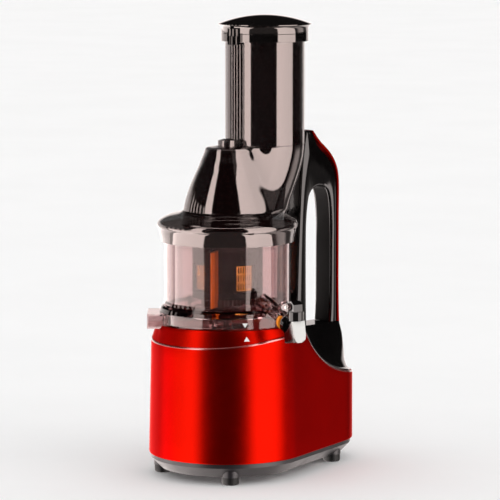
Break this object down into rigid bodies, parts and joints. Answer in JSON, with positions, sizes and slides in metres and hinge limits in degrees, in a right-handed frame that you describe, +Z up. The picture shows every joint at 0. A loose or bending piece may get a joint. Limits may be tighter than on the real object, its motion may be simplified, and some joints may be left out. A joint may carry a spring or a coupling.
{
  "type": "cold press juicer",
  "caption": "Vertical cold press juicer with a wide feed tube, smoky juicing bowl and hopper, glossy red motor base, black loop handle and a lever-capped juice spout.",
  "frame": {"origin": "middle of the whole outline, on the surface the feet stand on", "axes": "+Z up, +Y from the rounded front toward the handle at the back, +X toward the juice spout"},
  "size_m": [0.213, 0.252, 0.4814],
  "materials": {
    "red_gloss": "glossy metallic paint",
    "black_gloss": "glossy",
    "black_matte": "fine matte",
    "black_rubber": "matte",
    "smoky_clear": "clear, smoke tinted",
    "clear": "clear",
    "strainer_dark": "dark, slightly see-through",
    "screen_gold": "gold-toned perforated sheet",
    "auger_dark": "semi-gloss",
    "gear_brown": "moulded",
    "gear_tan": "moulded",
    "silicone_orange": "matte",
    "silicone_grey": "matte",
    "silicone_clear": "satin",
    "grey_light": "satin",
    "white_plastic": "moulded",
    "white_print": "printed",
    "steel": "turned",
    "lamination": "stacked sheet",
    "copper": "enamelled wire",
    "alloy": "cast",
    "board_green": "coated"
  },
  "bodies": {
    "housing": {"base_shell": "red_gloss", "bottom_plate": "black_matte", "feet": "black_rubber", "plate_screws": "steel", "cord_gland": "black_rubber", "handle_frame": "black_gloss", "handle_saddle": "black_gloss", "handle_cover": "red_gloss", "switch_bezel": "black_matte", "motor_mounts": "black_rubber", "lower_bracket": "alloy", "upper_bracket": "alloy", "motor_bearings": "steel", "stator": "lamination", "windings": "copper", "through_bolts": "steel", "gearbox_case": "alloy", "gearbox_cover": "alloy", "lay_pin": "steel", "drive_bearing": "steel", "run_capacitor": "white_plastic", "control_board": "board_green", "base_mark": "white_print"},
    "rocker": {"switch_rocker": "black_matte"},
    "motor_rotor": {"rotor": "lamination", "cooling_fan": "white_plastic"},
    "lay": {"lay_gear": "gear_tan"},
    "drive": {"output_gear": "gear_tan", "drive_shaft": "steel"},
    "bowl_set": {"bowl": "smoky_clear", "bowl_mark": "white_print", "drive_seal": "silicone_grey", "pulp_flap": "silicone_grey", "spout_seal": "silicone_orange", "cap_pin": "steel", "strainer_frame": "strainer_dark", "strainer_screen": "screen_gold"},
    "cap": {"cap_lever": "black_gloss", "cap_tongue": "grey_light", "cap_plug": "silicone_clear"},
    "planet_1": {"planet_gear_1": "gear_brown"},
    "planet_2": {"planet_gear_2": "gear_brown"},
    "planet_3": {"planet_gear_3": "gear_brown"},
    "brush": {"brush_frame": "clear", "wipers": "silicone_orange"},
    "auger_set": {"auger": "auger_dark", "auger_gear": "gear_brown", "auger_pin": "steel"},
    "hopper_set": {"hopper": "smoky_clear", "hopper_seal": "silicone_grey", "bearing_knob": "clear", "chute_ring": "black_gloss", "lid_pin": "steel"},
    "lid_set": {"lid": "black_gloss", "lid_latch": "black_gloss"}
  },
  "joints": [
    {"name": "rotor_spin", "type": "hinge", "parent": "housing", "child": "motor_rotor", "pos_m": [-0.0236, -0.043, 0.08], "axis": [0, 0, 1], "continuous": true},
    {"name": "lay_spin", "type": "hinge", "parent": "housing", "child": "lay", "pos_m": [-0.0236, -0.078, 0.118], "axis": [0, 0, 1], "continuous": true},
    {"name": "drive_spin", "type": "hinge", "parent": "housing", "child": "drive", "pos_m": [-0.0236, -0.043, 0.15], "axis": [0, 0, 1], "continuous": true},
    {"name": "bowl_lift", "type": "slide", "parent": "housing", "child": "bowl_set", "axis": [0, 0, 1], "range_m": [0, 0.06]},
    {"name": "auger_spin", "type": "hinge", "parent": "bowl_set", "child": "auger_set", "pos_m": [-0.0236, -0.043, 0.24], "axis": [0, 0, 1], "continuous": true},
    {"name": "planet_1_spin", "type": "hinge", "parent": "bowl_set", "child": "planet_1", "pos_m": [-0.00291, -0.02232, 0.183], "axis": [0, 0, 1], "continuous": true},
    {"name": "planet_2_spin", "type": "hinge", "parent": "bowl_set", "child": "planet_2", "pos_m": [-0.05185, -0.03543, 0.183], "axis": [0, 0, 1], "continuous": true},
    {"name": "planet_3_spin", "type": "hinge", "parent": "bowl_set", "child": "planet_3", "pos_m": [-0.01603, -0.07125, 0.183], "axis": [0, 0, 1], "continuous": true},
    {"name": "brush_spin", "type": "hinge", "parent": "bowl_set", "child": "brush", "pos_m": [-0.0236, -0.043, 0.2], "axis": [0, 0, 1], "continuous": true},
    {"name": "cap_tilt", "type": "hinge", "parent": "bowl_set", "child": "cap", "pos_m": [0.09163, -0.06332, 0.1895], "axis": [-0.1736, -0.9848, 0], "range_deg": [0, 100]},
    {"name": "hopper_twist", "type": "hinge", "parent": "bowl_set", "child": "hopper_set", "pos_m": [-0.0236, -0.043, 0.262], "axis": [0, 0, 1], "range_deg": [0, 30]},
    {"name": "lid_tilt", "type": "hinge", "parent": "hopper_set", "child": "lid_set", "pos_m": [-0.0236, 0.0634, 0.4652], "axis": [-1, 0, 0], "range_deg": [0, 110]},
    {"name": "rocker_tilt", "type": "hinge", "parent": "housing", "child": "rocker", "pos_m": [-0.0236, 0.09469, 0.34028], "axis": [1, 0, 0], "range_deg": [-6, 6]}
  ],
  "couplings": [
    {"joint": "lay_spin", "follows": "rotor_spin", "ratio": -0.2069},
    {"joint": "drive_spin", "follows": "rotor_spin", "ratio": 0.056426},
    {"joint": "auger_spin", "follows": "rotor_spin", "ratio": 0.056426},
    {"joint": "planet_1_spin", "follows": "rotor_spin", "ratio": -0.090282},
    {"joint": "planet_2_spin", "follows": "rotor_spin", "ratio": -0.090282},
    {"joint": "planet_3_spin", "follows": "rotor_spin", "ratio": -0.090282},
    {"joint": "brush_spin", "follows": "rotor_spin", "ratio": -0.025078}
  ]
}
